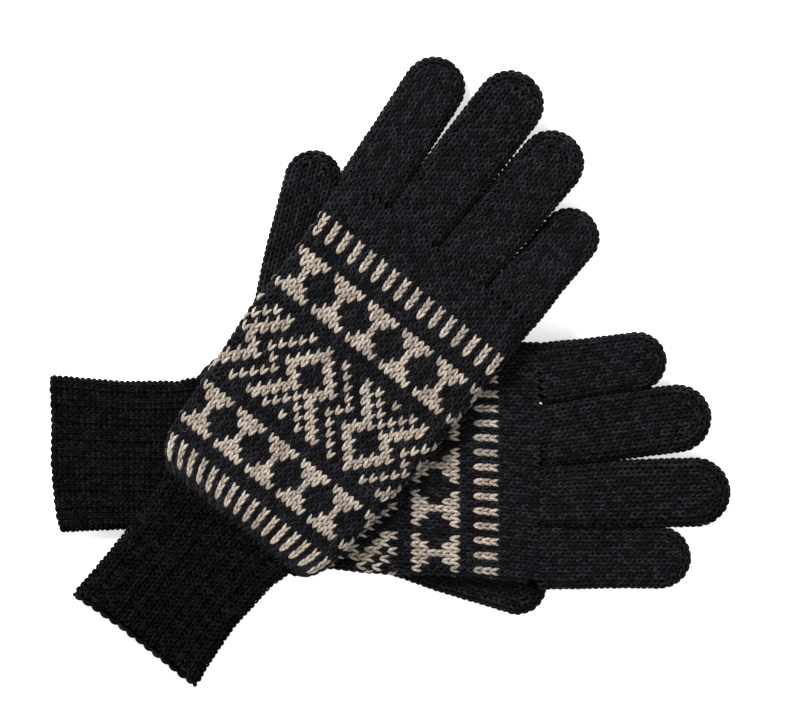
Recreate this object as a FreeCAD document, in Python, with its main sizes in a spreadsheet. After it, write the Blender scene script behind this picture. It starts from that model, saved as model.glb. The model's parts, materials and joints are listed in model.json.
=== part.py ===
"""A pair of knitted wool gloves, laid flat and crossed, the right one on top of the left.

Millimetres, +Z up. Each glove is worked out in a frame of its own: the origin is the middle of
the wrist bend, +X runs towards the fingertips and +Y towards the thumb of a right glove. A left
glove is the mirror image, so its sideways sizes are multiplied by -1. Each knitted tube has its
bend line as the origin of its own body, so it turns about its own Y axis.
"""
import FreeCAD, Part
import math
import os
import Sketcher

DIMENSIONS = {
    # Fabric and clearances
    "fabric_wall": 1.5,
    "clearance": 0.3,
    # Flattened tubes
    "tube_thickness": 8.0,
    "thumb_thickness": 7.2,
    "edge_rounding": 3.6,
    "thumb_rounding": 3.2,
    # Hand
    "wrist_width": 63.0,
    "heel_width": 80.0,
    "heel_reach": 13.0,
    "hand_little_side": 43.0,
    "hand_thumb_side": 42.0,
    "hand_thumb_flare": 9.0,
    "hand_widest_reach": 60.0,
    "finger_line": 139.5,
    "finger_line_gap": 1.9,
    # Cuff
    "cuff_reach": 56.5,
    "cuff_width": 58.0,
    "cast_on_length": 3.0,
    "cast_on_growth": 0.6,
    "cuff_bend_radius": 18.0,
    # Fingers: place of the middle line, widths at the base and beyond the bend, lengths
    "index_side": 40.4,
    "middle_side": 16.6,
    "ring_side": -7.6,
    "little_side": -31.8,
    "index_base_width": 22.8,
    "middle_base_width": 22.8,
    "ring_base_width": 22.8,
    "little_base_width": 22.4,
    "index_tip_width": 22.8,
    "middle_tip_width": 24.6,
    "ring_tip_width": 23.8,
    "little_tip_width": 21.6,
    "index_length": 55.0,
    "middle_length": 69.5,
    "ring_length": 62.0,
    "little_length": 44.0,
    "index_bend": 26.0,
    "middle_bend": 33.0,
    "ring_bend": 29.5,
    "little_bend": 20.5,
    # Thumb and its gusset
    "thumb_reach": 73.5,
    "thumb_side": 36.0,
    "thumb_root_width": 19.0,
    "thumb_tip_width": 21.8,
    "thumb_length": 65.0,
    "thumb_bend": 30.0,
    "thumb_hole_radius": 4.5,
    "gusset_start": 20.0,
    "gusset_end": 84.0,
    "gusset_peak": 68.0,
    "gusset_width": 5.0,
    "gusset_thickness": 6.0,
    # How the left glove lies: its thumb is tucked under the palm and lifts the hand
    "left_cuff_level": 5.5,
    "left_cuff_slope_run": 25.0,
    "left_index_yaw": 0.4,
    "left_middle_yaw": -1.2,
    "left_ring_yaw": -7.2,
    "left_little_yaw": -7.4,
    "left_thumb_yaw": 17.0,
    "left_thumb_droop": 0.0,
    # How the right glove lies on it
    "right_cuff_level": 16.5,
    "right_cuff_slope_run": 32.0,
    "right_index_yaw": 6.6,
    "right_middle_yaw": 0.9,
    "right_ring_yaw": -1.6,
    "right_little_yaw": -2.0,
    "right_thumb_yaw": 23.4,
    "right_thumb_droop": 6.0,
    "wrist_past_cuff": 9.6,
    "gloves_apart": 1.9,
    "right_turn": 51.0,
    "floor_gap": 0.1,
}

FINGERS = ("index", "middle", "ring", "little")
MIRROR = {"left": -1, "right": 1}
# The left palm lies on its own thumb, and the right palm over the back of the left hand, with
# enough air between them to pass the edge of the left cuff.
HAND_FLOOR = {
    "left": "( thumb_thickness + clearance )",
    "right": "( thumb_thickness + tube_thickness + 2 * clearance + gloves_apart )",
}

doc = FreeCAD.newDocument("KnittedGloves")
sheet = doc.addObject("Spreadsheet::Sheet", "dims")
for line, (alias, size) in enumerate(DIMENSIONS.items(), start=1):
    sheet.set(f"A{line}", alias)
    sheet.set(f"B{line}", str(size))
    sheet.setAlias(f"B{line}", alias)
doc.recompute()


def dim(alias):
    """The value of one named size."""
    return float(sheet.get(alias))


def bound(expression):
    """The expression with every size's name given its sheet."""
    words = expression.replace("(", "( ").replace(")", " )").split()
    return " ".join(f"dims.{word}" if word in DIMENSIONS else word for word in words)


def result(body, expression):
    """The number that an expression gives now."""
    found = body.evalExpression(bound(expression))
    return float(getattr(found, "Value", found))


# ---------------------------------------------------------------- sketches and features


def new_body(label):
    body = doc.addObject("PartDesign::Body", label)
    body.Label = label
    return body


def new_sketch(body, name, role):
    """A sketch on one of the body's own origin planes."""
    sketch = body.newObject("Sketcher::SketchObject", name)
    plane = next(part for part in body.Origin.OriginFeatures if part.Role == role)
    sketch.AttachmentSupport = [(plane, "")]
    sketch.MapMode = "FlatFace"
    return sketch


def pin(sketch, geometry, end, across, up):
    """Hold one end of an edge at expressions, measured from the sketch's origin; None is free."""
    for kind, axis, expression in (("DistanceX", -2, across), ("DistanceY", -1, up)):
        if expression is None:
            continue
        if expression == "0":
            sketch.addConstraint(Sketcher.Constraint("PointOnObject", geometry, end, axis))
        else:
            size = result(sketch, expression)
            number = sketch.addConstraint(Sketcher.Constraint(kind, -1, 1, geometry, end, size))
            sketch.setExpression(f"Constraints[{number}]", bound(expression))


def outline(sketch, corners, round_ends=()):
    """A closed anticlockwise outline. round_ends lists the corners that a half circle starts
    from: it bulges outwards and ends straight above or below its start."""
    places = [FreeCAD.Vector(result(sketch, x), result(sketch, y), 0) for x, y in corners]
    for number, start in enumerate(places):
        end = places[(number + 1) % len(places)]
        if number in round_ends:
            first = math.atan2(start.y - end.y, start.x - end.x)
            radius = start.distanceToPoint(end) / 2
            circle = Part.Circle((start + end) / 2, FreeCAD.Vector(0, 0, 1), radius)
            sketch.addGeometry(Part.ArcOfCircle(circle, first, first + math.pi), False)
        else:
            sketch.addGeometry(Part.LineSegment(start, end), False)
    for number, (x, y) in enumerate(corners):
        before = (number - 1) % len(corners)
        sketch.addConstraint(Sketcher.Constraint("Coincident", before, 2, number, 1))
        pin(sketch, number, 1, x, y)
    for number in round_ends:
        pin(sketch, number, 3, corners[number][0], None)


def stadium(sketch, width, height):
    """The cross-section of a flattened tube: two flats joined by two half circles."""
    side = f"( {width} ) / 2 - ( {height} ) / 2"
    half = f"( {height} ) / 2"
    corners = [
        (f"-( {side} )", f"-( {half} )"),
        (side, f"-( {half} )"),
        (side, half),
        (f"-( {side} )", half),
    ]
    outline(sketch, corners, (1, 3))


def add(body, kind, sketch, name, length, both_ways=True, backwards=False):
    """A pad or a pocket of one sketch."""
    feature = body.newObject(f"PartDesign::{kind}", name)
    feature.Profile = sketch
    feature.Reversed = backwards
    if both_ways:
        feature.SideType = "Symmetric"
    feature.setExpression("Length", bound(length))
    return feature


def round_long_edges(body, base, name, radius, thickness):
    """Round the top and bottom edges of a slab, but not those across an open end."""
    doc.recompute()
    top = base.Shape.BoundBox.ZMax
    chosen = []
    for number, edge in enumerate(base.Shape.Edges, start=1):
        box = edge.BoundBox
        flat = box.ZLength < 0.01 and abs(abs(box.ZMax) - top) < 0.01
        across = box.XLength < 0.01
        if flat and not across:
            chosen.append(f"Edge{number}")
    fillet = body.newObject("PartDesign::Fillet", name)
    fillet.Base = (base, chosen)
    fillet.setExpression("Radius", bound(within_wall(radius, thickness)))
    return fillet


def within_wall(radius, thickness):
    """An edge's rounding, but never more than the slab has room for."""
    return f"min( {radius} ; 0.45 * {thickness} )"


def add_bend_roll(body, width, thickness):
    """The rounded end of a tube about its bend line, so that it turns clear of what it joins."""
    sketch = new_sketch(body, "bend_roll_circle", "XZ_Plane")
    sketch.addGeometry(Part.Circle(FreeCAD.Vector(0, 0, 0), FreeCAD.Vector(0, 0, 1), 1), False)
    sketch.addConstraint(Sketcher.Constraint("Coincident", 0, 3, -1, 1))
    radius = f"( {thickness} ) / 2"
    number = sketch.addConstraint(Sketcher.Constraint("Radius", 0, result(sketch, radius)))
    sketch.setExpression(f"Constraints[{number}]", bound(radius))
    return add(body, "Pad", sketch, "bend_roll", f"( {width} ) - ( {thickness} )")


# ---------------------------------------------------------------- the knitted tubes


def finger_tube(label, base_width, far_width, length, thickness):
    """A flattened tube from its bend line to just short of the next one."""
    body = new_body(label)
    corners = [
        ("0", f"-( {base_width} / 2 )"),
        (length, f"-( {far_width} / 2 )"),
        (length, f"{far_width} / 2"),
        ("0", f"{base_width} / 2"),
    ]
    plan = new_sketch(body, "plan", "XY_Plane")
    outline(plan, corners)
    slab = add(body, "Pad", plan, "slab", thickness)
    round_long_edges(body, slab, "rounding", "edge_rounding", "tube_thickness")
    add_bend_roll(body, base_width, thickness)
    inside = new_sketch(body, "inside", "XY_Plane")
    back = f"-( {thickness} )"
    outline(inside, [
        (back, f"-( {base_width} / 2 - {thickness} / 2 )"),
        (f"{length} + {thickness}", f"-( {far_width} / 2 - {thickness} / 2 )"),
        (f"{length} + {thickness}", f"{far_width} / 2 - {thickness} / 2"),
        (back, f"{base_width} / 2 - {thickness} / 2"),
    ])
    add(body, "Pocket", inside, "hollow", f"{thickness} - 2 * fabric_wall")
    return body


def tip_tube(label, width, length, thickness, rounding):
    """A flattened tube with a closed, rounded far end."""
    body = new_body(label)
    plan = new_sketch(body, "plan", "XY_Plane")
    outline(plan, [
        ("0", f"-( {width} / 2 )"),
        (f"{length} - {width} / 2", f"-( {width} / 2 )"),
        (f"{length} - {width} / 2", f"{width} / 2"),
        ("0", f"{width} / 2"),
    ], (1,))
    slab = add(body, "Pad", plan, "slab", thickness)
    round_long_edges(body, slab, "rounding", rounding, thickness)
    add_bend_roll(body, width, thickness)
    inside = new_sketch(body, "inside", "XY_Plane")
    half = f"{width} / 2 - {thickness} / 2"
    outline(inside, [
        (f"-( {thickness} )", f"-( {half} )"),
        (f"{length} - {width} / 2", f"-( {half} )"),
        (f"{length} - {width} / 2", half),
        (f"-( {thickness} )", half),
    ], (1,))
    add(body, "Pocket", inside, "hollow", f"{thickness} - 2 * fabric_wall")
    return body


def thumb_tube(label):
    """The thumb up to its bend: its round root swings in the flat, and its top is open there."""
    body = new_body(label)
    length = "thumb_bend - thumb_thickness / 2 - clearance"
    plan = new_sketch(body, "plan", "XY_Plane")
    outline(plan, [
        ("0", "-( thumb_root_width / 2 )"),
        (length, "-( thumb_tip_width / 2 )"),
        (length, "thumb_tip_width / 2"),
        ("0", "thumb_root_width / 2"),
    ], (3,))
    slab = add(body, "Pad", plan, "slab", "thumb_thickness")
    round_long_edges(body, slab, "rounding", "thumb_rounding", "thumb_thickness")
    inside = new_sketch(body, "inside", "XY_Plane")
    outline(inside, [
        ("0", "-( thumb_root_width / 2 - thumb_thickness / 2 )"),
        (f"{length} + thumb_thickness", "-( thumb_tip_width / 2 - thumb_thickness / 2 )"),
        (f"{length} + thumb_thickness", "thumb_tip_width / 2 - thumb_thickness / 2"),
        ("0", "thumb_root_width / 2 - thumb_thickness / 2"),
    ], (3,))
    add(body, "Pocket", inside, "hollow", "thumb_thickness - 2 * fabric_wall")
    cut_round_hole(body, "0", "0", "thumb_thickness", upwards=True)
    return body


def cut_round_hole(body, across, up, depth, upwards):
    """The hole between the palm and the thumb, cut from the body's middle plane."""
    sketch = new_sketch(body, "thumb_hole_circle", "XY_Plane")
    centre = FreeCAD.Vector(result(sketch, across), result(sketch, up), 0)
    radius = dim("thumb_hole_radius")
    sketch.addGeometry(Part.Circle(centre, FreeCAD.Vector(0, 0, 1), radius), False)
    pin(sketch, 0, 3, across, up)
    number = sketch.addConstraint(Sketcher.Constraint("Radius", 0, radius))
    sketch.setExpression(f"Constraints[{number}]", bound("thumb_hole_radius"))
    doc.recompute()
    before = body.Shape.Volume
    add(body, "Pocket", sketch, "thumb_hole", depth, both_ways=False, backwards=upwards)
    doc.recompute()
    if body.Shape.Volume >= before:
        raise RuntimeError(f"{body.Label}: the thumb hole cuts nothing")


def patterned_hand(label, mirror):
    """The hand: one flattened tube from the wrist to the finger line, open at both ends."""
    body = new_body(label)
    near = "tube_thickness / 2 + clearance"
    far = "finger_line - tube_thickness / 2 - finger_line_gap"
    little = "hand_little_side"
    thumb = "hand_thumb_side"
    sides = [
        (near, "-( wrist_width / 2 )"),
        ("heel_reach", "-( heel_width / 2 )"),
        ("hand_widest_reach", f"-( {little} )"),
        (far, f"-( {little} )"),
        (far, f"{thumb} + hand_thumb_flare"),
        ("hand_widest_reach", thumb),
        ("heel_reach", "heel_width / 2"),
        (near, "wrist_width / 2"),
    ]
    plan = new_sketch(body, "plan", "XY_Plane")
    outline(plan, facing(sides, mirror))
    slab = add(body, "Pad", plan, "slab", "tube_thickness")
    round_long_edges(body, slab, "rounding", "edge_rounding", "tube_thickness")
    inset = "tube_thickness / 2"
    inside = new_sketch(body, "inside", "XY_Plane")
    outline(inside, facing([
        ("0", f"-( wrist_width / 2 - {inset} )"),
        (near, f"-( wrist_width / 2 - {inset} )"),
        (f"heel_reach + {inset} / 2", f"-( heel_width / 2 - {inset} )"),
        ("hand_widest_reach", f"-( {little} - {inset} )"),
        ("finger_line", f"-( {little} - {inset} )"),
        ("finger_line", f"{thumb} + hand_thumb_flare - {inset}"),
        ("hand_widest_reach", f"{thumb} - {inset}"),
        (f"heel_reach + {inset} / 2", f"heel_width / 2 - {inset}"),
        (near, f"wrist_width / 2 - {inset}"),
        ("0", f"wrist_width / 2 - {inset}"),
    ], mirror))
    add(body, "Pocket", inside, "hollow", "tube_thickness - 2 * fabric_wall")
    side = "thumb_side" if mirror > 0 else "-( thumb_side )"
    cut_round_hole(body, "thumb_reach", side, "tube_thickness", upwards=False)
    return body


def facing(corners, mirror):
    """The corners of one hand's outline, mirrored for the other hand but still anticlockwise."""
    if mirror > 0:
        return corners
    return [(x, f"-( {y} )") for x, y in reversed(corners)]


def thumb_gusset(label, mirror):
    """The extra knitting that widens the hand beside the thumb, along the hand's edge."""
    body = new_body(label)
    heel_slope = "( hand_thumb_side - heel_width / 2 ) / ( hand_widest_reach - heel_reach )"
    palm_run = "( finger_line - tube_thickness / 2 - finger_line_gap - hand_widest_reach )"
    palm_slope = f"hand_thumb_flare / {palm_run}"
    plan = new_sketch(body, "plan", "XY_Plane")
    outline(plan, facing([
        ("gusset_start", f"heel_width / 2 + {heel_slope} * ( gusset_start - heel_reach )"),
        ("hand_widest_reach", "hand_thumb_side"),
        ("gusset_end", f"hand_thumb_side + {palm_slope} * ( gusset_end - hand_widest_reach )"),
        ("gusset_peak", "hand_thumb_side + gusset_width"),
    ], mirror))
    add(body, "Pad", plan, "panel", "gusset_thickness")
    return body


def ribbed_cuff(label, side, drop):
    """The rib: a flattened tube that runs level from the wrist, slopes down and ends level."""
    body = new_body(label)
    end = "-( cuff_reach - cast_on_length )"
    profile = new_sketch(body, "side_profile", "XZ_Plane")
    draw_side(profile, side, drop, "tube_thickness / 2", "0", end, rolled=True)
    slab = add(body, "Pad", profile, "slab", "cuff_width")
    doc.recompute()
    chosen = []
    for number, edge in enumerate(slab.Shape.Edges, start=1):
        box = edge.BoundBox
        if box.YLength < 0.01 and box.XLength > 0.01:
            chosen.append(f"Edge{number}")
    rounding = body.newObject("PartDesign::Fillet", "rounding")
    rounding.Base = (slab, chosen)
    rounding.setExpression("Radius", bound(within_wall("edge_rounding", "tube_thickness")))
    bore = new_sketch(body, "bore_profile", "XZ_Plane")
    inner = "( tube_thickness / 2 - fabric_wall )"
    draw_side(bore, side, drop, inner, "tube_thickness", f"{end} - tube_thickness", rolled=False)
    add(body, "Pocket", bore, "hollow", "cuff_width - tube_thickness")
    return body


def draw_side(sketch, side, drop, offset, start, end, rolled):
    """A cuff seen from its side: level, slope and level again, offset above and below its
    middle line. The wrist end is a half circle where it is rolled."""
    top = draw_cuff_line(sketch, side, drop, offset, start, end, 1)
    bottom = draw_cuff_line(sketch, side, drop, offset, start, end, -1)
    half = result(sketch, offset)
    near = result(sketch, start)
    far = result(sketch, end)
    fall = result(sketch, drop)
    if rolled:
        circle = Part.Circle(FreeCAD.Vector(near, 0, 0), FreeCAD.Vector(0, 0, 1), half)
        closing = sketch.addGeometry(
            Part.ArcOfCircle(circle, -math.pi / 2, math.pi / 2), False)
        pin(sketch, closing, 3, start, None)
    else:
        closing = sketch.addGeometry(
            Part.LineSegment(FreeCAD.Vector(near, -half, 0), FreeCAD.Vector(near, half, 0)), False)
    hem = sketch.addGeometry(
        Part.LineSegment(FreeCAD.Vector(far, half - fall, 0), FreeCAD.Vector(far, -half - fall, 0)),
        False)
    sketch.addConstraint(Sketcher.Constraint("Coincident", closing, 1, bottom, 1))
    sketch.addConstraint(Sketcher.Constraint("Coincident", closing, 2, top, 1))
    sketch.addConstraint(Sketcher.Constraint("Coincident", hem, 1, top + 4, 2))
    sketch.addConstraint(Sketcher.Constraint("Coincident", hem, 2, bottom + 4, 2))


def draw_cuff_line(sketch, side, drop, offset, start, end, above):
    """Level, bend, slope, bend and level, above (1) or below (-1) the cuff's middle line.
    The number of its first edge is returned."""
    up = FreeCAD.Vector(0, 0, 1)
    first = sketch.GeometryCount
    lift = above * result(sketch, offset)
    level = dim(f"{side}_cuff_level")
    run = dim(f"{side}_cuff_slope_run")
    fall = result(sketch, drop)
    upper_radius = dim("cuff_bend_radius") + lift
    lower_radius = dim("cuff_bend_radius") - lift
    angle = math.atan2(fall, run)
    setback = dim("cuff_bend_radius") * math.tan(angle / 2)
    quarter = math.pi / 2
    first_end = FreeCAD.Vector(setback - level, lift, 0)
    last_start = FreeCAD.Vector(-level - run - setback, lift - fall, 0)
    upper = Part.Circle(first_end - FreeCAD.Vector(0, upper_radius, 0), up, upper_radius)
    lower = Part.Circle(last_start + FreeCAD.Vector(0, lower_radius, 0), up, lower_radius)
    bend = Part.ArcOfCircle(upper, quarter, quarter + angle)
    foot = Part.ArcOfCircle(lower, -quarter, -quarter + angle)
    starting = FreeCAD.Vector(result(sketch, start), lift, 0)
    ending = FreeCAD.Vector(result(sketch, end), lift - fall, 0)
    for edge in (
        Part.LineSegment(starting, first_end),
        bend,
        Part.LineSegment(bend.EndPoint, foot.EndPoint),
        foot,
        Part.LineSegment(last_start, ending),
    ):
        sketch.addGeometry(edge, False)
    for one, one_end, other, other_end in ((0, 2, 1, 1), (1, 2, 2, 1), (2, 2, 3, 2), (3, 1, 4, 1)):
        sketch.addConstraint(
            Sketcher.Constraint("Tangent", first + one, one_end, first + other, other_end))
    sketch.addConstraint(Sketcher.Constraint("Horizontal", first))
    sketch.addConstraint(Sketcher.Constraint("Horizontal", first + 4))
    sign = "+" if above > 0 else "-"
    other_sign = "-" if above > 0 else "+"
    for arc, size in ((1, f"cuff_bend_radius {sign} {offset}"),
                      (3, f"cuff_bend_radius {other_sign} {offset}")):
        number = sketch.addConstraint(
            Sketcher.Constraint("Radius", first + arc, result(sketch, size)))
        sketch.setExpression(f"Constraints[{number}]", bound(size))
    height = offset if above > 0 else f"-( {offset} )"
    back = f"cuff_bend_radius * tan( atan( ( {drop} ) / {side}_cuff_slope_run ) / 2 )"
    pin(sketch, first, 1, start, height)
    pin(sketch, first, 2, f"{back} - {side}_cuff_level", None)
    pin(sketch, first + 4, 1, f"-( {side}_cuff_level + {side}_cuff_slope_run + {back} )", None)
    pin(sketch, first + 4, 2, end, f"( {height} ) - ( {drop} )")
    return first


def cast_on_edge(label):
    """The first, slightly fuller row of the rib: a ring across the cuff's open end."""
    body = new_body(label)
    outer = new_sketch(body, "outer_section", "YZ_Plane")
    stadium(outer, "cuff_width + cast_on_growth", "tube_thickness")
    add(body, "Pad", outer, "ring", "cast_on_length", both_ways=False, backwards=True)
    inner = new_sketch(body, "inner_section", "YZ_Plane")
    stadium(inner, "cuff_width - 2 * fabric_wall", "tube_thickness - 2 * fabric_wall")
    add(body, "Pocket", inner, "cuff_mouth", "4 * cast_on_length")
    return body


# ---------------------------------------------------------------- assembly


def turned(yaw, droop=0.0):
    """Turned about +Z, then with the far end lowered, both in degrees."""
    level = FreeCAD.Rotation(FreeCAD.Vector(0, 0, 1), yaw)
    return level * FreeCAD.Rotation(FreeCAD.Vector(0, 1, 0), droop)


def droop_to_floor(height, reach):
    """The slope, in degrees, that lowers a tube's middle line by a height over its reach."""
    return math.degrees(math.asin(height / reach))


def make_glove(side, glove):
    """All the knitted pieces of one glove, each placed in the glove's frame."""
    mirror = MIRROR[side]
    half = dim("tube_thickness") / 2
    middle = result(sheet, HAND_FLOOR[side]) + half
    floor = 0.0 if side == "left" else dim("floor_gap")
    drop = HAND_FLOOR[side] if side == "left" else f"{HAND_FLOOR[side]} - floor_gap"

    def place(body, x, y, z, yaw=0.0, droop=0.0):
        local = FreeCAD.Placement(FreeCAD.Vector(x, mirror * y, z), turned(mirror * yaw, droop))
        body.Placement = glove * local
        return body

    place(patterned_hand(f"{side}_patterned_hand", mirror), 0, 0, middle)
    place(ribbed_cuff(f"{side}_ribbed_cuff", side, drop), 0, 0, middle)
    edge = cast_on_edge(f"{side}_cast_on_edge")
    place(edge, dim("cast_on_length") - dim("cuff_reach"), 0, half + floor)

    for finger in FINGERS:
        base = f"{finger}_base_width"
        tip = f"{finger}_tip_width"
        length = dim(f"{finger}_length")
        bend = dim(f"{finger}_bend")
        fall = middle - half - floor
        if side == "left":
            # The first part slopes down and the tip lies flat on the floor.
            slope = droop_to_floor(fall, bend)
            tip_slope = 0.0
        else:
            # The whole finger slopes down in one line until its tip touches the floor.
            slope = droop_to_floor(fall, length - half)
            tip_slope = slope
        yaw = dim(f"{side}_{finger}_yaw")
        across = dim(f"{finger}_side")
        reach = f"{finger}_bend - tube_thickness / 2 - clearance"
        tube = finger_tube(f"{side}_{finger}_finger", base, tip, reach, "tube_thickness")
        place(tube, dim("finger_line"), across, middle, yaw, slope)
        end = tip_tube(f"{side}_{finger}_fingertip", tip, f"{finger}_length - {finger}_bend",
                       "tube_thickness", "edge_rounding")
        plan_bend = bend * math.cos(math.radians(slope))
        place(
            end,
            dim("finger_line") + plan_bend * math.cos(math.radians(yaw)),
            across + plan_bend * math.sin(math.radians(yaw)),
            middle - bend * math.sin(math.radians(slope)),
            yaw,
            tip_slope,
        )

    thumb_half = dim("thumb_thickness") / 2
    yaw = dim(f"{side}_thumb_yaw")
    droop = dim(f"{side}_thumb_droop")
    root_rise = dim("thumb_root_width") / 2 * math.sin(math.radians(droop))
    thumb_middle = middle - half - dim("clearance") - thumb_half - root_rise
    place(thumb_tube(f"{side}_thumb"), dim("thumb_reach"), dim("thumb_side"), thumb_middle, yaw, droop)
    plan_bend = dim("thumb_bend") * math.cos(math.radians(droop))
    tip = tip_tube(f"{side}_thumb_tip", "thumb_tip_width", "thumb_length - thumb_bend",
                   "thumb_thickness", "thumb_rounding")
    place(
        tip,
        dim("thumb_reach") + plan_bend * math.cos(math.radians(yaw)),
        dim("thumb_side") + plan_bend * math.sin(math.radians(yaw)),
        thumb_middle - dim("thumb_bend") * math.sin(math.radians(droop)),
        yaw,
        droop,
    )
    place(thumb_gusset(f"{side}_thumb_gusset", mirror), 0, 0, middle)


# The right glove lies so that the root of its thumb is just past the side of the left hand.
# Its wrist lies past the corner of the left cuff, where its own cuff is high enough to clear it.
left_frame = FreeCAD.Placement()
right_wrist_y = result(
    sheet,
    "hand_little_side + thumb_root_width / 2"
    " - thumb_reach * sin( right_turn * 1 deg ) - thumb_side * cos( right_turn * 1 deg )",
)
right_wrist_x = result(
    sheet,
    f"( wrist_past_cuff - ( cuff_width / 2 + ( {right_wrist_y} ) ) * sin( right_turn * 1 deg ) )"
    " / cos( right_turn * 1 deg )",
)
right_frame = FreeCAD.Placement(
    FreeCAD.Vector(right_wrist_x, right_wrist_y, 0), turned(dim("right_turn"))
)
make_glove("left", left_frame)
make_glove("right", right_frame)
doc.recompute()

pieces = [item for item in doc.Objects if item.TypeId == "PartDesign::Body"]

# The origin is the middle of the pair, on the surface that it lies on.
whole = FreeCAD.BoundBox()
for piece in pieces:
    whole.add(piece.Shape.optimalBoundingBox())
to_origin = FreeCAD.Vector(-whole.Center.x, -whole.Center.y, 0)
for piece in pieces:
    piece.Placement = FreeCAD.Placement(to_origin, FreeCAD.Rotation()) * piece.Placement
doc.recompute()

for item in doc.Objects:
    if "Invalid" in item.State or "Error" in item.State:
        raise RuntimeError(f"{item.Name} failed: {item.State}")
for piece in pieces:
    if piece.Shape.isNull() or not piece.Shape.isValid() or len(piece.Shape.Solids) != 1:
        raise RuntimeError(f"{piece.Label} is not one valid solid")

os.makedirs("parts", exist_ok=True)
for piece in pieces:
    piece.Shape.exportStep(f"parts/{piece.Label}.step")
    print(f"{piece.Label}: {piece.Shape.Volume / 1000:.2f} cm3")
print(f"{len(pieces)} pieces, {whole.XLength:.1f} x {whole.YLength:.1f} x {whole.ZLength:.1f} mm")
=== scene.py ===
"""A pair of knitted wool gloves, laid flat and crossed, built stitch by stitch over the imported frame.

Lengths in the sizes below are millimetres. Every knitted tube has two knitting coordinates: a
column, counted round it from the middle of its back, and a distance along it.
"""
import json
import math

import bpy
import numpy as np
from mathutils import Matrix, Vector


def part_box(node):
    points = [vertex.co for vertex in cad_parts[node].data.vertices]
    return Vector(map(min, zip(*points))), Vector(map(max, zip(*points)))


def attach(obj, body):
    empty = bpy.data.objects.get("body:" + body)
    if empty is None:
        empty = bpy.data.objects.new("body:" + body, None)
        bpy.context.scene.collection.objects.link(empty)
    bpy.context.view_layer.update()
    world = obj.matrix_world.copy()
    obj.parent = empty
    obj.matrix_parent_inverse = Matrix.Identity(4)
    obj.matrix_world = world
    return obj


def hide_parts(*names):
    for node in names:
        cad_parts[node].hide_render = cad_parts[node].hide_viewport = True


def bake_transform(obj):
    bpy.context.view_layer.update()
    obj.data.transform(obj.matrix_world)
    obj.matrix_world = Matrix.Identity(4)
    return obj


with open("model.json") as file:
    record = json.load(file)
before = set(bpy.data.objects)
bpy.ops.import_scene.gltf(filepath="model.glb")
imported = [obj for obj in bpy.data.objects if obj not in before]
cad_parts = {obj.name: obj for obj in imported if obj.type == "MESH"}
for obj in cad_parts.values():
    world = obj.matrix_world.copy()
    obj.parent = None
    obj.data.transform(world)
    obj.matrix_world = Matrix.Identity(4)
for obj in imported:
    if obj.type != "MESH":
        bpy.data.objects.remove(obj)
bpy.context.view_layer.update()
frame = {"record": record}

MM = 0.001
random = np.random.default_rng(7)
JOINTS = {joint["name"]: joint for joint in frame["record"]["behaviour"]["joints"]}

# Knitting gauge
CHART_ROW = 3.03
PLAIN_ROW = 2.36
RIB_ROW = 2.17
YARN_RADIUS = 0.66
STITCH_DEPTH = 0.56
# The stitches' middle line lies inside the fabric's face, and the lining inside that
STITCH_INSET = 0.35
LINING_DEPTH = 0.48
HAND_COLUMNS = 66
FINGER_COLUMNS = 18
THUMB_COLUMNS = 16
# Rib repeats round each cuff, and the lines of stitches in each: the last one is the furrow's
RIB_REPEATS = {"left": (19, 3), "right": (20, 2)}

# Places along a glove, from the wrist towards the fingertips
FIRST_CHART_ROW = 6.47
PLAIN_START = 117.5
HAND_END = 133.6
CUFF_END = -56.3
FINGER_LINE = 139.5
HALF_THICKNESS = 4.0
THUMB_HALF_THICKNESS = 3.6

# Half widths of the hand on its two sides, along its length
HAND_REACH = [-2, 2, 5, 9, 13, 20, 60, 112, 140]
THUMB_SIDE = [30.5, 31.5, 34.5, 37.8, 39.6, 40.8, 43.0, 47.6, 51.0]
LITTLE_SIDE = [30.5, 31.5, 34.5, 37.8, 39.6, 40.8, 42.9, 43.2, 43.0]
# How far the thumb's gusset swells the hand's edge, along its length
GUSSET_REACH = [20, 40, 52, 64, 76, 90, 112]
GUSSET_SWELL = [0.6, 1.2, 1.7, 2.3, 2.1, 0.9, 0]
CUFF_REACH = [-58, -50, -30, -8, 0, 4]
CUFF_THUMB_SIDE = [30.4, 29.9, 29.2, 29.6, 30.6, 32.0]
CUFF_LITTLE_SIDE = [30.2, 29.4, 27.6, 27.9, 29.6, 32.0]

# How far each cuff runs level from the wrist, and over what length it then slopes down
CUFF_SLOPE = {"left": (5.5, 25.0), "right": (16.5, 32.0)}
# How the cuffs differ: further drawn in at the little finger's side (-), longer at the hem
CUFF_DRAW = {"left": 0.4, "right": -1.5}
HEM_DROP = {"left": 0.4, "right": 2.0}
# How much further out the heel of each hand is, at the little finger's side
HEEL_SWELL = {"left": 0.0, "right": 2.4}
# Loops round each hem, and how far they bulge
HEM_LOOPS = {"left": (44, 0.55), "right": (30, 0.95)}
# How far each hem's corners fall short (+) or stick out (-): on the thumb's side, on the other.
HEM_SKEW = {"left": (3.2, -0.6), "right": (-2.0, 0.3)}

FINGERS = {
    # name: width at the base, width beyond the bend, length
    "index": (23.6, 23.2, 55.0),
    "middle": (23.6, 24.9, 69.5),
    "ring": (23.6, 24.2, 62.0),
    "little": (23.2, 22.0, 44.0),
}
THUMB = (19.0, 21.2, 65.0)
# How some digits lie: turned towards the thumb's side in degrees, wider and longer than their twins
LIE = {
    ("left", "index"): (0.0, 0.0, -1.8),
    ("left", "middle"): (-0.3, 1.0, -0.8),
    ("left", "ring"): (0.0, 1.3, -0.4),
    ("right", "middle"): (0.8, 0.6, 0.0),
    ("right", "ring"): (0.2, 0.2, -0.6),
    ("right", "little"): (0.4, 0.0, -2.0),
    ("right", "thumb"): (1.3, 0.0, 2.4),
}

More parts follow.
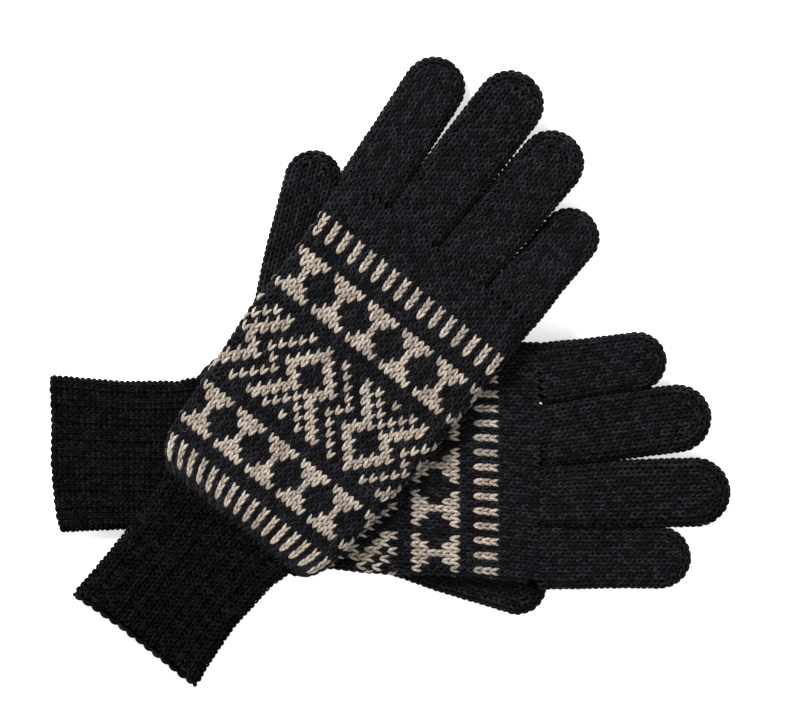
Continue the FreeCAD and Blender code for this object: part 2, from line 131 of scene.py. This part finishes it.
# The big motif: for each distance from its middle column, its pale rows, 1 nearest the fingers.
# Every second motif round the hand is upside down.
MOTIF = (
    (1, 2, 8, 11),
    (2, 3, 7, 9),
    (3, 4, 6, 7, 8, 10),
    (1, 4, 5, 6, 8, 9, 11),
    (2, 5, 9, 10),
    (3, 7, 10, 11),
    (4, 6, 8, 11),
)
CHART_ROWS = 37
PLAIN_ROWS = 7
MOTIF_COLUMN = 4


# ---------------------------------------------------------------- materials


def shader(name):
    """A new material, its node tree's nodes and links, and its main shader."""
    material = bpy.data.materials.new(name)
    material.use_nodes = True
    nodes, links = material.node_tree.nodes, material.node_tree.links
    return material, nodes, links, nodes["Principled BSDF"]


def noise(nodes, links, coordinates, scale, detail, roughness=0.6):
    texture = nodes.new("ShaderNodeTexNoise")
    texture.inputs["Scale"].default_value = scale
    texture.inputs["Detail"].default_value = detail
    texture.inputs["Roughness"].default_value = roughness
    links.new(coordinates, texture.inputs["Vector"])
    return texture.outputs["Fac"]


def ramp(nodes, links, factor, stops):
    node = nodes.new("ShaderNodeValToRGB")
    while len(node.color_ramp.elements) < len(stops):
        node.color_ramp.elements.new(0.5)
    for element, (position, colour) in zip(node.color_ramp.elements, stops):
        element.position = position
        element.color = (*colour, 1.0)
    links.new(factor, node.inputs["Fac"])
    return node.outputs["Color"]


def combine(nodes, links, operation, first, second):
    node = nodes.new("ShaderNodeMath")
    node.operation = operation
    for socket, value in zip(node.inputs, (first, second)):
        if isinstance(value, (int, float)):
            socket.default_value = value
        else:
            links.new(value, socket)
    return node.outputs[0]


def wool(name, shade, middle, light, gloss, bump):
    """Spun wool: two twisted plies with loose fibres, mottled from stitch to stitch, and each strand's sides
    darkened as painted shade.
    """
    material, nodes, links, surface = shader(name)
    place = nodes.new("ShaderNodeTexCoord").outputs["Object"]
    ply = nodes.new("ShaderNodeAttribute")
    ply.attribute_name = "ply"
    split = nodes.new("ShaderNodeSeparateXYZ")
    links.new(ply.outputs["Vector"], split.inputs[0])
    along, across, chance = split.outputs
    twist = combine(nodes, links, "ADD", combine(nodes, links, "MULTIPLY", along, 4.2),
                    combine(nodes, links, "MULTIPLY", across, 2.4))
    twist = combine(nodes, links, "ADD", twist, combine(nodes, links, "MULTIPLY", chance, 9.0))
    ridges = combine(nodes, links, "SINE", twist, 0.0)
    fibres = noise(nodes, links, place, 2600.0, 4.0, 0.7)
    patches = noise(nodes, links, place, 210.0, 2.0)
    mix = combine(nodes, links, "MULTIPLY", fibres, 0.7)
    mix = combine(nodes, links, "ADD", mix, combine(nodes, links, "MULTIPLY", ridges, 0.06))
    mix = combine(nodes, links, "ADD", mix, combine(nodes, links, "MULTIPLY", patches, 0.15))
    mix = combine(nodes, links, "ADD", mix, combine(nodes, links, "MULTIPLY", chance, 0.22))
    # Painted shade: every strand's sides are darkened in its colour, whatever the light.
    painted_flank_shade = combine(nodes, links, "MULTIPLY", across, across)
    mix = combine(nodes, links, "SUBTRACT", mix, combine(nodes, links, "MULTIPLY", painted_flank_shade, 0.16))
    links.new(ramp(nodes, links, mix, ((0.37, shade), (0.54, middle), (0.74, light))),
              surface.inputs["Base Color"])
    height = combine(nodes, links, "ADD", combine(nodes, links, "MULTIPLY", ridges, 0.45), fibres)
    relief = nodes.new("ShaderNodeBump")
    relief.inputs["Strength"].default_value = bump
    relief.inputs["Distance"].default_value = 0.12 * MM
    links.new(height, relief.inputs["Height"])
    links.new(relief.outputs["Normal"], surface.inputs["Normal"])
    surface.inputs["Roughness"].default_value = 0.88
    surface.inputs["Specular IOR Level"].default_value = gloss
    surface.inputs["Sheen Weight"].default_value = 0.3 * gloss
    surface.inputs["Sheen Roughness"].default_value = 0.45
    return material


DARK_WOOL = wool("dark_wool", (0.0013, 0.0013, 0.0020), (0.0055, 0.0053, 0.0070),
                 (0.025, 0.024, 0.029), 0.06, 1.0)
# Painted shade: the hand's dark yarn at about half its brightness, for the ribbed cuffs.
SHADE_DARKENED_RIB_WOOL = wool("shade_darkened_rib_wool", (0.0006, 0.0006, 0.0009), (0.0024, 0.0023, 0.0030),
                (0.012, 0.0115, 0.0135), 0.04, 1.0)
PALE_WOOL = wool("pale_wool", (0.17, 0.137, 0.109), (0.32, 0.270, 0.222), (0.47, 0.41, 0.35), 0.15, 0.9)
# Painted shade: a near-black copy of the dark wool for the fabric's inside, darker than the yarn itself.
SHADE_PAINTED_LINING_WOOL = wool("shade_painted_lining_wool", (0.0004, 0.0004, 0.0006), (0.0008, 0.0008, 0.0011),
                  (0.0016, 0.0016, 0.002), 0.0, 0.5)
DARK_FIBRE = wool("dark_fibre", (0.012, 0.012, 0.014), (0.026, 0.025, 0.028), (0.055, 0.053, 0.056), 0.1, 0.2)
PALE_FIBRE = wool("pale_fibre", (0.06, 0.056, 0.052), (0.12, 0.113, 0.105), (0.24, 0.225, 0.21), 0.1, 0.2)


# ---------------------------------------------------------------- meshes


def make_mesh(name, parts):
    """One object from several (vertices in mm, faces of 4, faces of 6, ply, material)."""
    materials = []
    vertices, loops, sizes, slots, plies = [], [], [], [], []
    first = 0
    for points, quads, hexagons, ply, material in parts:
        if material not in materials:
            materials.append(material)
        vertices.append(points)
        plies.append(ply)
        for faces in (quads, hexagons):
            if len(faces):
                loops.append((faces + first).ravel())
                sizes.append(np.full(len(faces), faces.shape[1]))
                slots.append(np.full(len(faces), materials.index(material)))
        first += len(points)
    points = np.concatenate(vertices) * MM
    loops = np.concatenate(loops)
    sizes = np.concatenate(sizes)
    mesh = bpy.data.meshes.new(name)
    mesh.vertices.add(len(points))
    mesh.vertices.foreach_set("co", points.astype(np.float32).ravel())
    mesh.loops.add(len(loops))
    mesh.loops.foreach_set("vertex_index", loops.astype(np.int32))
    mesh.polygons.add(len(sizes))
    starts = np.concatenate(([0], np.cumsum(sizes)[:-1]))
    mesh.polygons.foreach_set("loop_start", starts.astype(np.int32))
    mesh.polygons.foreach_set("material_index", np.concatenate(slots).astype(np.int32))
    mesh.polygons.foreach_set("use_smooth", np.ones(len(sizes), bool))
    for material in materials:
        mesh.materials.append(material)
    attribute = mesh.attributes.new("ply", "FLOAT_VECTOR", "POINT")
    attribute.data.foreach_set("vector", np.concatenate(plies).astype(np.float32).ravel())
    mesh.update(calc_edges=True)
    mesh.validate()
    piece = bpy.data.objects.new(name, mesh)
    bpy.context.collection.objects.link(piece)
    return piece


def unit(vectors):
    return vectors / np.maximum(np.linalg.norm(vectors, axis=-1, keepdims=True), 1e-9)


def strands(tube, path, radius, material, flatness=0.86, sides=6):
    """Closed strands of yarn along paths given as (column, distance along, height)."""
    count, knots = path.shape[:2]
    radius = np.broadcast_to(radius, (count, knots))
    points, normals = tube.at(path[..., 0], path[..., 1], path[..., 2])
    ahead = unit(np.gradient(points, axis=1))
    side = unit(np.cross(ahead, normals))
    out = np.cross(side, ahead)
    angle = np.arange(sides) * 2 * math.pi / sides
    across, rise = np.cos(angle)[:, None], np.sin(angle)[:, None]
    offset = side[:, :, None] * across + out[:, :, None] * rise * flatness
    rings = points[:, :, None] + radius[:, :, None, None] * offset
    step = np.linalg.norm(np.diff(points, axis=1), axis=-1)
    along = np.concatenate((np.zeros((count, 1)), np.cumsum(step, axis=1)), axis=1)
    ply = np.empty((count, knots, sides, 3))
    ply[..., 0] = along[:, :, None]
    ply[..., 1] = np.cos(angle)
    ply[..., 2] = random.random((count, 1, 1))
    here = np.arange(knots - 1)[:, None] * sides + np.arange(sides)
    following = np.arange(knots - 1)[:, None] * sides + (np.arange(sides) + 1) % sides
    band = np.stack((here, following, following + sides, here + sides), axis=-1).reshape(-1, 4)
    starts = np.arange(count)[:, None, None] * knots * sides
    quads = (band[None] + starts).reshape(-1, 4)
    near = np.arange(sides)[::-1]
    far = np.arange(sides) + (knots - 1) * sides
    ends = (np.stack((near, far))[None] + starts).reshape(-1, sides)
    return rings.reshape(-1, 3), quads, ends, ply.reshape(-1, 3), material


class Tube:
    """A flattened knitted tube over a centre line that keeps its direction in plan."""

    def __init__(self, origin, along, columns, reach, plus, minus, half, rise, heights, crown=0.0):
        self.origin = np.array(origin[:2])
        self.along = np.array(along[:2])
        self.cross = np.array([-along[1], along[0]])
        self.columns = columns
        self.reach, self.plus, self.minus = reach, plus, minus
        self.half = half
        self.rise, self.heights = rise, heights
        self.crown = crown

    def height(self, distance):
        spread = (-3.0, -1.5, 0.0, 1.5, 3.0)
        return sum(np.interp(distance + s, self.rise, self.heights) for s in spread) / len(spread)

    def section(self, column, distance, out):
        """Place across, height and outward direction on the cross-section at a distance."""
        plus = np.interp(distance, self.reach, self.plus)
        minus = np.interp(distance, self.reach, self.minus)
        middle = (plus - minus) / 2
        flat = (plus + minus) / 2 - self.half
        around = 4 * flat + 2 * math.pi * self.half
        place = (column / self.columns) * around
        place = (place + around / 2) % around - around / 2
        mirror = np.sign(place) + (place == 0)
        place = np.abs(place)
        turn = np.clip((place - flat) / self.half, 0, math.pi)
        over = np.clip(place - flat - math.pi * self.half, 0, None)
        radius = self.half + out
        across = np.minimum(place, flat) - over + radius * np.sin(turn)
        bulge = self.crown * np.clip(1 - (across / (flat + self.half)) ** 2, 0, 1)
        up = radius * np.cos(turn) + bulge * np.cos(turn)
        return middle + mirror * across, up, mirror * np.sin(turn), np.cos(turn)

    def world(self, forward, across, up, distance):
        plan = self.origin + forward[..., None] * self.along + across[..., None] * self.cross
        return np.concatenate((plan, (self.height(distance) + up)[..., None]), axis=-1)

    def at(self, column, distance, out):
        across, up, side, rise = self.section(column, distance, out)
        normal = np.concatenate((side[..., None] * self.cross, rise[..., None]), axis=-1)
        return self.world(distance, across, up, distance), normal


class Hand(Tube):
    """A hand, whose edge swells over the thumb's gusset without moving the stitches of its back."""

    def at(self, column, distance, out):
        points, normal = super().at(column, distance, out)
        across = (points[..., :2] - self.origin) @ self.cross * self.mirror
        share = np.clip((across - 20) / 22, 0, 1) ** 2
        swell = np.interp(distance, GUSSET_REACH, GUSSET_SWELL) * share * self.mirror
        points[..., :2] += swell[..., None] * self.cross
        return points, normal


class Cuff(Tube):
    """A cuff whose hem runs a little aslant: further out at one corner than at the other."""

    def at(self, column, distance, out):
        points, normal = super().at(column, distance, out)
        across = (points[..., :2] - self.origin) @ self.cross * self.mirror / 30
        at_thumb, at_little = self.skew
        lag = np.where(across > 0, at_thumb, at_little) * across**2
        lag = lag * np.clip(-distance / 56, 0, 1) ** 3
        points[..., :2] += lag[..., None] * self.along
        return points, normal


class Digit(Tube):
    """A finger or thumb: its outer columns run round the tip and meet at its end."""

    def __init__(self, *sizes, length, first, **words):
        super().__init__(*sizes, **words)
        self.length = length
        self.inner = 2
        self.tip = length - np.interp(length, self.reach, self.plus)
        self.turn = 0.8 * np.interp(length, self.reach, self.plus)
        self.first = first
        turning = self.turn * math.pi / 2
        self.last = first + PLAIN_ROW * round((self.tip + turning - first) / PLAIN_ROW - 0.5)
        self.turn = (self.last + 0.5 * PLAIN_ROW - self.tip) / (math.pi / 2)

    def at(self, column, distance, out):
        half_round = self.columns / 2
        folded = np.abs((column + half_round) % self.columns - half_round)
        beyond = np.clip(distance - self.tip, 0, None)
        angle = np.where(np.minimum(folded, half_round - folded) >= self.inner, beyond / self.turn, 0)
        straight = np.where(angle > 0, self.tip, distance)
        across, up, side, rise = self.section(column, straight, out)
        up = up * (1 - 0.22 * np.sin(np.clip(beyond / self.turn, 0, math.pi / 2)) ** 2)
        forward = straight + np.abs(across) * np.sin(angle)
        across = across * np.cos(angle)
        ahead = np.abs(side) * np.sin(angle)
        normal = ahead[..., None] * self.along + (side * np.cos(angle))[..., None] * self.cross
        normal = np.concatenate((normal, rise[..., None]), axis=-1)
        return self.world(forward, across, up, forward), normal


# ---------------------------------------------------------------- stitches

# One leg of a knit stitch, from its foot to its shoulder: across in columns, along in rows,
# height and thickness as shares.
LEG_ACROSS = np.array([0.02, 0.08, 0.18, 0.29, 0.39, 0.46])
LEG_ALONG = np.array([-0.66, -0.44, -0.10, 0.27, 0.60, 0.90])
LEG_HEIGHT = np.array([-0.75, 0.15, 0.95, 1.0, 0.30, -0.55])
LEG_RADIUS = np.array([0.34, 0.78, 1.02, 1.02, 0.72, 0.26])


def knit(columns, distances, row, pitch, lift=0.0, plump=1.0, tallness=1.0):
    """Paths and thicknesses of the two legs of the stitches at these columns and distances."""
    count = len(columns)
    row = np.broadcast_to(row, count)
    # Together these keep a leg within its own column, so that none straddles the fold of a tip.
    columns = columns + random.uniform(-0.02, 0.02, count)
    sway = random.uniform(-0.018, 0.018, (count, 1))
    distances = distances + random.normal(0, 0.035, count) * row
    paths = []
    for mirror in (-1, 1):
        path = np.empty((count, len(LEG_ACROSS), 3))
        path[..., 0] = columns[:, None] + pitch * (mirror * LEG_ACROSS + sway)
        path[..., 1] = distances[:, None] + LEG_ALONG * tallness * row[:, None]
        wobble = random.normal(0, 0.05, (count, 1))
        path[..., 2] = lift + STITCH_DEPTH * LEG_HEIGHT + wobble
        paths.append(path)
    thick = YARN_RADIUS * plump * LEG_RADIUS * random.normal(1, 0.04, (2 * count, 1))
    return np.concatenate(paths), thick


def fuzz(tube, count, low, high, material):
    """Loose fibres that stand and curl a little over the stitches."""
    knots = 6
    start = np.stack((
        random.uniform(-tube.columns / 2, tube.columns / 2, count),
        random.uniform(low, high, count),
        np.full(count, 0.35),
    ), axis=-1)
    heading = random.uniform(0, 2 * math.pi, count)
    length = random.gamma(3.0, 1.1, count) + 1.5
    curl = random.normal(0, 0.5, count)
    path = np.empty((count, knots, 3))
    place = start.copy()
    for knot in range(knots):
        path[:, knot] = place
        stride = length / knots
        place = place + np.stack((
            np.cos(heading) * stride / 2.85,
            np.sin(heading) * stride,
            stride * random.normal(0.12, 0.22, count),
        ), axis=-1)
        place[:, 1] = np.clip(place[:, 1], low, high)
        place[:, 2] = np.clip(place[:, 2], 0.2, 1.7)
        heading = heading + curl
    return strands(tube, path, np.array([0.04, 0.04, 0.035, 0.03, 0.025, 0.015]), material, 1.0, 3)


def skin(points):
    """A smooth closed surface through rings of points, in the lining's material: a near-black painted shade.
    """
    rings, around = points.shape[:2]
    here = np.arange(rings - 1)[:, None] * around + np.arange(around)
    following = np.arange(rings - 1)[:, None] * around + (np.arange(around) + 1) % around
    quads = np.stack((here, following, following + around, here + around), axis=-1).reshape(-1, 4)
    ends = np.stack((np.arange(around)[::-1], np.arange(around) + (rings - 1) * around))
    return points.reshape(-1, 3), quads, ends, np.zeros((rings * around, 3)), SHADE_PAINTED_LINING_WOOL


def sleeve(tube, distances):
    """The inside of the fabric, in painted shade: a smooth tube below the stitches, in its own near-black
    material.
    """
    around = 72
    column = (np.arange(around) / around) * tube.columns
    columns, along = np.meshgrid(column, distances)
    return skin(tube.at(columns, along, np.full(columns.shape, -LINING_DEPTH))[0])


# ---------------------------------------------------------------- the pieces


def is_pale(column, row):
    """Whether the chart is pale at a whole column from the motif's middle and a row from the cuff."""
    depth = CHART_ROWS - 1 - row
    if not 0 <= depth < CHART_ROWS:
        return False
    fold = min(depth, CHART_ROWS - 1 - depth)
    if fold < 3:
        return column % 2 == 1
    if 5 <= fold < 11:
        shoulder = fold - 5
        half = (2, 1, 0, 0, 1, 2)[shoulder]
        return abs((column - 3 + 3) % 6 - 3) <= half
    if 13 <= depth < 24:
        line = depth - 12
        repeat = round(column / 12)
        if repeat % 2:
            line = 12 - line
        return line in MOTIF[abs(column - 12 * repeat)]
    return False


def hand_stitches(side, tube, mirror):
    """Every stitch of a hand, sorted into back and palm and into dark and pale."""
    groups = {}
    for row in range(-1, CHART_ROWS + PLAIN_ROWS):
        distance = FIRST_CHART_ROW + CHART_ROW * min(row, CHART_ROWS - 0.6)
        distance += PLAIN_ROW * max(row - CHART_ROWS + 0.6, 0)
        for number in range(HAND_COLUMNS):
            column = number - HAND_COLUMNS // 2
            face = "back" if abs(column) <= HAND_COLUMNS // 4 else "palm"
            shade = "pale" if is_pale(MOTIF_COLUMN - mirror * column, row) else "dark"
            groups.setdefault((face, shade), []).append((column, distance))
    for (face, shade), places in sorted(groups.items()):
        columns, distances = np.array(places, float).T
        pale = shade == "pale"
        row = np.where(distances > PLAIN_START, PLAIN_ROW, CHART_ROW)
        path, thick = knit(columns, distances, row, 1.0, 0.05 if pale else 0.0, 1.04 if pale else 1.0)
        parts = [strands(tube, path, thick, PALE_WOOL if pale else DARK_WOOL)]
        if not pale:
            parts.append(fuzz(tube, 500, 2.0, PLAIN_START, PALE_FIBRE))
            parts.append(fuzz(tube, 1600, 2.0, HAND_END - 2, DARK_FIBRE))
        piece = make_mesh(f"{side}_{face}_{shade}_stitches", parts)
        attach(piece, f"{side}_hand")


def make_hand(side, origin, along, mirror, heights):
    half = HALF_THICKNESS - STITCH_INSET
    heel = HEEL_SWELL[side] * np.array([0.6, 1, 1, 0.5, 0.2, 0, 0, 0, 0])
    thumb = np.array(THUMB_SIDE) - STITCH_INSET
    little = np.array(LITTLE_SIDE) - STITCH_INSET + heel
    plus, minus = (thumb, little) if mirror > 0 else (little, thumb)
    tube = Hand(origin, along, HAND_COLUMNS, HAND_REACH, plus, minus, half, [0.0, 1.0], [heights, heights],
                crown=0.5 if side == "right" else 0.0)
    tube.mirror = mirror
    core = make_mesh(f"{side}_hand_lining", [sleeve(tube, np.linspace(0.5, HAND_END, 46))])
    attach(core, f"{side}_hand")
    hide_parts(f"{side}_patterned_hand", f"{side}_thumb_gusset")
    hand_stitches(side, tube, mirror)


def make_cuff(side, origin, along, mirror, height, floor):
    level, run = CUFF_SLOPE[side]
    half = HALF_THICKNESS - STITCH_INSET
    thumb = np.array(CUFF_THUMB_SIDE) - STITCH_INSET
    little = np.array(CUFF_LITTLE_SIDE) - STITCH_INSET
    little += CUFF_DRAW[side] * np.array([0.5, 1, 1, 0.4, 0, 0])
    hem = CUFF_END - HEM_DROP[side]
    plus, minus = (thumb, little) if mirror > 0 else (little, thumb)
    repeats, lines = RIB_REPEATS[side]
    tube = Cuff(origin, along, repeats, CUFF_REACH, plus, minus, half,
                [-level - run, -level], [floor, height])
    tube.skew = HEM_SKEW[side]
    tube.mirror = mirror

    rows = np.arange(3.0, hem + 1.0, -RIB_ROW)
    parts = []
    for line in range(lines):
        columns, distances = np.meshgrid(np.arange(repeats) + line / lines, rows)
        furrow = line == lines - 1
        path, thick = knit(columns.ravel(), distances.ravel(), RIB_ROW, 0.92 / lines,
                           -0.5 if furrow else 0.16, 0.74 if furrow else 0.86, 0.78)
        parts.append(strands(tube, path, thick, SHADE_DARKENED_RIB_WOOL))
    # The cast-on edge: a chain of loops that bulge along the hem.
    loops, bulge = HEM_LOOPS[side]
    lag = np.linspace(0, 1, 7)
    arc = np.sin(math.pi * lag)
    edge = np.empty((loops, 7, 3))
    edge[..., 0] = (np.arange(loops)[:, None] + 1.2 * lag) * repeats / loops
    edge[..., 1] = hem + 1.1 - bulge * arc + random.normal(0, 0.1, (loops, 1))
    edge[..., 2] = 0.8 * arc - 0.85
    parts.append(strands(tube, edge, 0.5 + 0.45 * np.broadcast_to(arc, (loops, 7)), SHADE_DARKENED_RIB_WOOL))
    parts.append(fuzz(tube, 900, hem, 2.0, DARK_FIBRE))
    stitches = make_mesh(f"{side}_rib_stitches", parts)
    lining = make_mesh(f"{side}_cuff_lining", [cuff_lining(tube, hem)])
    for piece in (stitches, lining):
        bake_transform(piece)
    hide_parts(f"{side}_ribbed_cuff", f"{side}_cast_on_edge")


def cuff_lining(tube, hem):
    """The inside of the rib: a folded tube, its outside below the stitches, open at the hem."""
    around = 160
    column = (np.arange(around) / around) * tube.columns
    outer = np.linspace(4.0, hem + 0.9, 34)
    inner = outer[::-1][:24]
    distances = np.concatenate((outer, inner))
    depth = np.concatenate((np.full(len(outer), -0.1), np.full(len(inner), -2.0)))
    columns, along = np.meshgrid(column, distances)
    ripple = 0.25 * np.cos(2 * math.pi * columns)
    return skin(tube.at(columns, along, depth[:, None] + ripple)[0])


def digit_stitches(tube):
    """Places of a digit's stitches: columns, distances. The middle ones stop before the tip."""
    places = []
    numbers = np.arange(tube.columns) - tube.columns / 2 + 0.5
    width = 2 * np.interp(tube.tip, tube.reach, tube.plus)
    pitch = (2 * width - 4 * tube.half + 2 * math.pi * tube.half) / tube.columns
    for distance in np.arange(tube.first, tube.last + 0.1, PLAIN_ROW):
        for number in numbers:
            folded = min(abs(number), tube.columns / 2 - abs(number))
            inside = math.sqrt(max(tube.inner**2 - folded**2, 0)) * pitch
            if folded > tube.inner or distance <= tube.tip + inside + 0.25 * PLAIN_ROW:
                places.append((number, distance))
    return np.array(places).T


def tip_seam(tube):
    """The strands that draw the two halves of a closed tip together."""
    numbers = np.arange(tube.columns // 2) + 0.5
    numbers = numbers[np.minimum(numbers, tube.columns / 2 - numbers) > tube.inner]
    path = np.empty((len(numbers), 6, 3))
    path[..., 0] = numbers[:, None] * np.array([1, 1, 1, -1, -1, -1]) + np.linspace(-0.25, 0.25, 6)
    path[..., 1] = tube.last + PLAIN_ROW * np.array([0.1, 0.25, 0.42, 0.42, 0.25, 0.1])
    path[..., 2] = np.array([-0.6, 0.1, 0.4, 0.4, 0.1, -0.6])
    return strands(tube, path, YARN_RADIUS * np.array([0.5, 0.9, 1, 1, 0.9, 0.5]), DARK_WOOL)


def make_digit(side, name, origin, along, sizes, columns, half, knots, heights, bodies, joints, nodes):
    """A finger or thumb in two lengths, one across each of its joints."""
    base, far, length, bend = sizes
    turned, wider, longer = LIE.get((side, name), (0.0, 0.0, 0.0))
    far, length = far + wider, length + longer
    swing = math.radians(turned) * (1 if side == "right" else -1)
    along = np.array([along[0] * math.cos(swing) - along[1] * math.sin(swing),
                      along[0] * math.sin(swing) + along[1] * math.cos(swing)])
    reach = np.array([-12.0, 0.0, bend - 6, bend + 6, length])
    plus = np.array([base, base, far, far, far]) / 2 - 0.3
    hand, lower, upper = bodies
    first = HAND_END + PLAIN_ROW * 0.45 - FINGER_LINE if hand else -7.0
    tube = Digit(origin, along, columns, reach, plus, plus, half, knots, heights,
                 length=length - 0.3, first=first)
    split = first + PLAIN_ROW * (round((bend / 2 - first) / PLAIN_ROW) - 0.5)
    end = tube.last + PLAIN_ROW
    for part, low, high in (("base", first, split), ("end", split, end)):
        columns_at, distances = digit_stitches(tube)
        chosen = (distances >= low - 0.01) & (distances < high - 0.01)
        path, thick = knit(columns_at[chosen], distances[chosen], PLAIN_ROW, 1.0, 0.0, 0.95)
        parts = [strands(tube, path, thick, DARK_WOOL)]
        top = min(high, tube.tip - 1)
        parts.append(fuzz(tube, 420, low, top, DARK_FIBRE))
        if part == "end":
            parts.append(tip_seam(tube))
        stitches = make_mesh(f"{side}_{name}_{part}_stitches", parts)
        if part == "base":
            inside = np.linspace(low - 5.0, high + 0.5, 14)
        else:
            inside = np.linspace(low - 0.5, tube.tip, 12)
        lining = make_mesh(f"{side}_{name}_{part}_lining", [
            sleeve(tube, inside) if part == "base" else tip_lining(tube, inside)])
        if part == "base":
            a, b, joint = hand, lower, joints[0]
            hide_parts(nodes[0])
        else:
            a, b, joint = lower, upper, joints[1]
            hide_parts(nodes[1])
        for piece in (stitches, lining):
            if a is None:
                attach(piece, b)
                continue
            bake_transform(piece)


def tip_lining(tube, inside):
    """The inside of a digit's far length, closed round its tip."""
    around = 48
    column = (np.arange(around) / around) * tube.columns
    columns, along = np.meshgrid(column, inside)
    across, up = tube.section(column, np.full(around, tube.tip), -LINING_DEPTH)[:2]
    rings = [tube.at(columns, along, np.full(columns.shape, -LINING_DEPTH))[0]]
    for turn in np.linspace(0.12, 1.0, 9):
        angle = turn * math.pi / 2
        shrink = math.cos(angle)
        forward = tube.tip + (np.abs(across).max()) * math.sin(angle)
        thin = (1 - 0.22 * math.sin(angle) ** 2) * max(1 - turn**6, 0.15)
        rings.append(tube.world(np.full(around, forward), across * shrink, up * thin, forward)[None])
    return skin(np.concatenate(rings))


def joint_place(name):
    return np.array(JOINTS[name]["pos_m"]) / MM


def direction(name):
    """The plan direction of the tube that bends about a joint's axis."""
    axis = np.array(JOINTS[name]["axis"])
    return unit(np.array([axis[1], -axis[0], 0.0]))


def make_glove(side):
    mirror = 1 if side == "right" else -1
    wrist = joint_place(f"{side}_wrist_bend")
    along = direction(f"{side}_wrist_bend")
    if side == "left":
        along = -along
    low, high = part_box(f"{side}_cast_on_edge")
    make_hand(side, wrist, along, mirror, wrist[2])
    make_cuff(side, wrist, along, mirror, wrist[2], (low[2] + high[2]) / 2 / MM)
    for name, sizes in FINGERS.items():
        joints = (f"{side}_{name}_bend", f"{side}_{name}_tip_bend")
        root, knuckle = joint_place(joints[0]), joint_place(joints[1])
        heading = direction(joints[0])
        bend = float(np.linalg.norm((knuckle - root)[:2]))
        low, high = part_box(f"{side}_{name}_fingertip")
        knots = [-20.0, 0.0, bend, sizes[2] - HALF_THICKNESS]
        heights = [root[2], root[2], knuckle[2], low[2] / MM + HALF_THICKNESS]
        make_digit(side, name, root, heading, (*sizes, bend), FINGER_COLUMNS,
                   HALF_THICKNESS - STITCH_INSET, knots, heights,
                   (f"{side}_hand", f"{side}_{name}", f"{side}_{name}_end"), joints,
                   (f"{side}_{name}_finger", f"{side}_{name}_fingertip"))
    joints = (f"{side}_thumb_swing", f"{side}_thumb_tip_bend")
    root, knuckle = joint_place(joints[0]), joint_place(joints[1])
    heading = direction(joints[1])
    bend = float(np.linalg.norm((knuckle - root)[:2]))
    slope = (knuckle[2] - root[2]) / bend
    knots = [-10.0, 70.0]
    heights = [root[2] - 10 * slope, root[2] + 70 * slope]
    make_digit(side, "thumb", root, heading, (*THUMB, bend), THUMB_COLUMNS,
               THUMB_HALF_THICKNESS - STITCH_INSET, knots, heights,
               (None, f"{side}_thumb_root", f"{side}_thumb_end"), joints,
               (f"{side}_thumb", f"{side}_thumb_tip"))


make_glove("left")
make_glove("right")


# ---------------------------------------------------------------- floor, light and camera

floor_material, floor_nodes, floor_links, floor_surface = shader("white_paper")
paper = floor_nodes.new("ShaderNodeTexCoord").outputs["Object"]
grain = noise(floor_nodes, floor_links, paper, 90.0, 3.0)
floor_links.new(ramp(floor_nodes, floor_links, grain, ((0.3, (0.93, 0.93, 0.93)), (0.7, (0.96, 0.96, 0.96)))),
                floor_surface.inputs["Base Color"])
floor_surface.inputs["Roughness"].default_value = 0.9
floor_surface.inputs["Emission Color"].default_value = (1.0, 1.0, 1.0, 1.0)
floor_surface.inputs["Emission Strength"].default_value = 0.62
bpy.ops.mesh.primitive_plane_add(size=6.0, location=(0, 0, -0.0002))
floor = bpy.context.object
floor.name = "floor"
floor.data.materials.append(floor_material)

world = bpy.data.worlds.new("studio")
bpy.context.scene.world = world
world.use_nodes = True
world.node_tree.nodes["Background"].inputs["Color"].default_value = (1.0, 1.0, 1.0, 1.0)
world.node_tree.nodes["Background"].inputs["Strength"].default_value = 0.45


def softbox(name, place, size, power):
    light = bpy.data.lights.new(name, "AREA")
    light.shape = "RECTANGLE"
    light.size, light.size_y = size
    light.energy = power
    lamp = bpy.data.objects.new(name, light)
    lamp.location = place
    lamp.rotation_euler = (-Vector(place)).to_track_quat("-Z", "Y").to_euler()
    bpy.context.collection.objects.link(lamp)


softbox("key_softbox", (-0.55, 0.75, 0.9), (0.5, 0.5), 30.0)
softbox("fill_softbox", (0.8, -0.5, 1.1), (0.9, 0.9), 7.0)

camera_data = bpy.data.cameras.new("camera")
camera = bpy.data.objects.new("camera", camera_data)
bpy.context.collection.objects.link(camera)
camera_data.sensor_width = 36.0
VIEW_WIDTH = 0.312
VIEW_DISTANCE = 1.6
camera_data.lens = camera_data.sensor_width * (VIEW_DISTANCE - 0.010) / VIEW_WIDTH
camera.location = (0.0036, 0.0084, VIEW_DISTANCE)
camera.rotation_euler = (0.0, 0.0, 0.0)
camera_data.clip_end = 20.0
bpy.context.scene.camera = camera
bpy.context.scene.view_settings.view_transform = "Standard"
